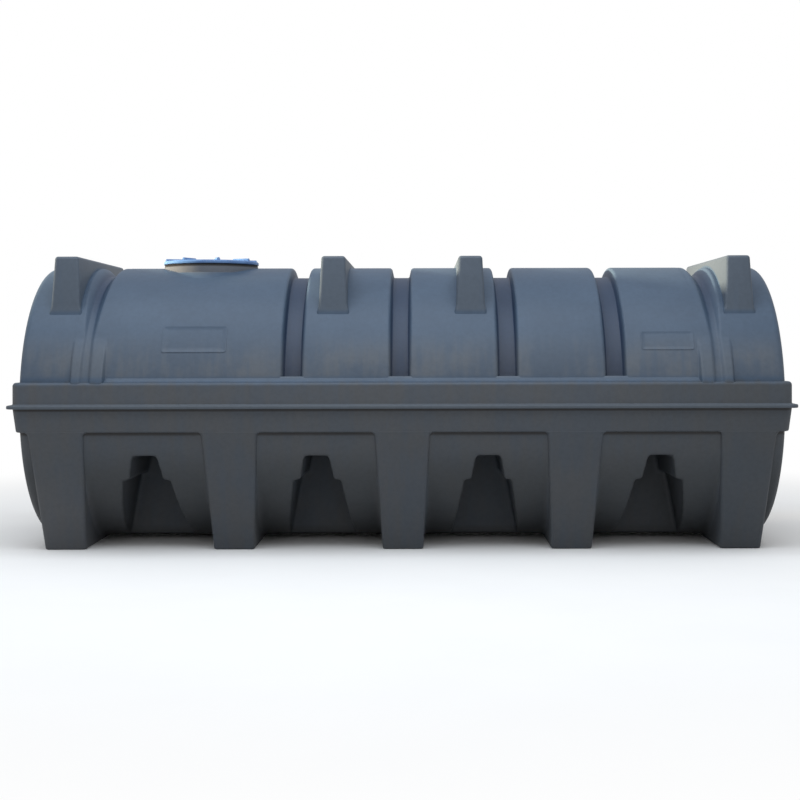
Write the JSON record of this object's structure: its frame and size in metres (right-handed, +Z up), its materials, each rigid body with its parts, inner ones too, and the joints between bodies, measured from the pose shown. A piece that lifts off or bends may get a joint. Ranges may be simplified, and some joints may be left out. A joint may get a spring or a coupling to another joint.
{
  "type": "horizontal storage tank",
  "caption": "Moulded horizontal storage tank: a hooped barrel with strap grooves, lifting lugs and a screw-lid hatch, belted at its middle, on cross legs with stepped niches between.",
  "frame": {"origin": "on the ground under the middle of the tank", "axes": "+X along the barrel, away from the hatch end; +Z up; -Y is the side in the picture"},
  "size_m": [4.746, 1.868, 1.8246],
  "materials": {
    "shell": "satin",
    "lid": "satin",
    "seal": "matt"
  },
  "bodies": {
    "tank": {"barrel_band_2": "shell", "barrel_band_3": "shell", "barrel_band_4": "shell", "barrel_band_5": "shell", "belly_bay_1": "shell", "belly_bay_2": "shell", "belly_bay_3": "shell", "belly_bay_4": "shell", "cross_leg_1": "shell", "cross_leg_2": "shell", "cross_leg_3": "shell", "cross_leg_4": "shell", "cross_leg_5": "shell", "end_channel_left": "shell", "end_channel_right": "shell", "hatch_band": "shell", "hatch_collar": "shell", "hatch_neck": "shell", "lower_belt": "shell", "lower_end_left": "shell", "lower_end_right": "shell", "niche_back_1": "shell", "niche_back_2": "shell", "niche_back_3": "shell", "niche_back_4": "shell", "niche_front_1": "shell", "niche_front_2": "shell", "niche_front_3": "shell", "niche_front_4": "shell", "parting_flange": "shell", "strap_groove_1": "shell", "strap_groove_2": "shell", "strap_groove_3": "shell", "strap_groove_4": "shell", "top_lug_1": "shell", "top_lug_2": "shell", "top_lug_3": "shell", "top_lug_4": "shell", "upper_belt": "shell", "upper_end_left": "shell", "upper_end_right": "shell"},
    "seal": {"lid_seal": "seal"},
    "lid": {"hatch_lid": "lid", "lid_skirt": "lid"}
  },
  "joints": [
    {"name": "lid_rise", "type": "slide", "parent": "tank", "child": "seal", "axis": [0, 0, 1], "range_m": [0, 0.018]},
    {"name": "lid_turn", "type": "hinge", "parent": "seal", "child": "lid", "pos_m": [-1.275, 0, 1.8], "axis": [0, 0, 1], "range_deg": [0, 540]}
  ],
  "couplings": [
    {"joint": "lid_rise", "follows": "lid_turn", "m_per_rad": 0.0019}
  ]
}
